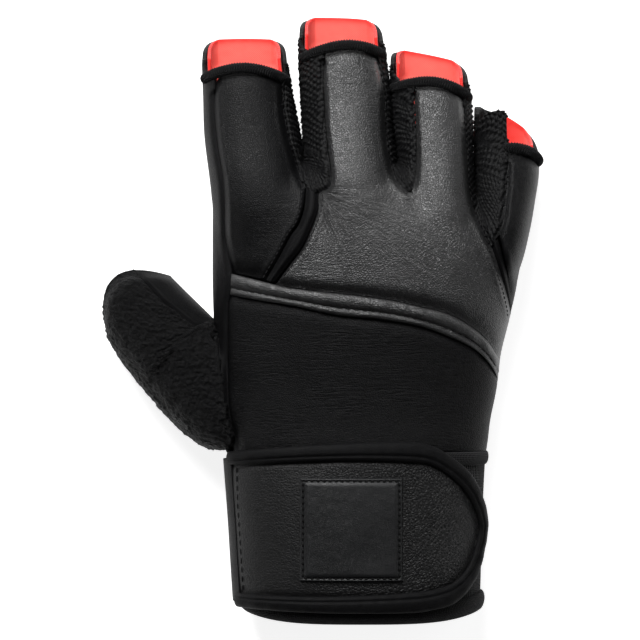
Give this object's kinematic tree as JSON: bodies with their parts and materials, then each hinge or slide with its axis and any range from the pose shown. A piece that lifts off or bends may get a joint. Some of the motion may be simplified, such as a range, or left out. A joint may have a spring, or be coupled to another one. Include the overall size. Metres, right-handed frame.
{
  "type": "weightlifting glove",
  "caption": "Black leather half-finger weightlifting glove with red fingertip linings, towelling thumb back and a wide wrist strap.",
  "frame": {"origin": "on the flat of the palm's underside, where the glove rests, below the middle of the back band", "axes": "+Y towards the fingertips, -X towards the thumb, +Z out of the back of the hand"},
  "size_m": [0.1454, 0.1991, 0.0462],
  "materials": {
    "leather": "satin grain",
    "palm_leather": "matt grain",
    "smooth_leather": "matt, smooth",
    "mesh": "spacer mesh",
    "terry": "looped towelling",
    "binding": "woven tape",
    "red_lining": "smooth knit",
    "patch": "matt moulded"
  },
  "bodies": {
    "root": {"palm_panel": "palm_leather", "back_panel": "leather", "index_panel": "leather", "pinky_panel": "leather", "index_knuckle_strip": "leather", "pinky_knuckle_strip": "leather", "back_band": "leather", "lower_back_panel": "leather", "thumb_side_strip": "leather", "gusset_index_middle": "mesh", "gusset_middle_ring": "mesh", "gusset_ring_pinky": "mesh", "index_binding": "binding", "middle_binding": "binding", "ring_binding": "binding", "pinky_binding": "binding", "index_lining": "red_lining", "middle_lining": "red_lining", "ring_lining": "red_lining", "pinky_lining": "red_lining", "thumb_terry": "terry", "thumb_leather": "smooth_leather", "thumb_palm": "palm_leather", "cuff_base": "binding", "cuff_binding_top": "binding", "cuff_binding_bottom": "binding", "strap_face": "leather", "strap_binding": "binding", "strap_wrap": "leather", "strap_patch": "patch"}
  },
  "joints": []
}
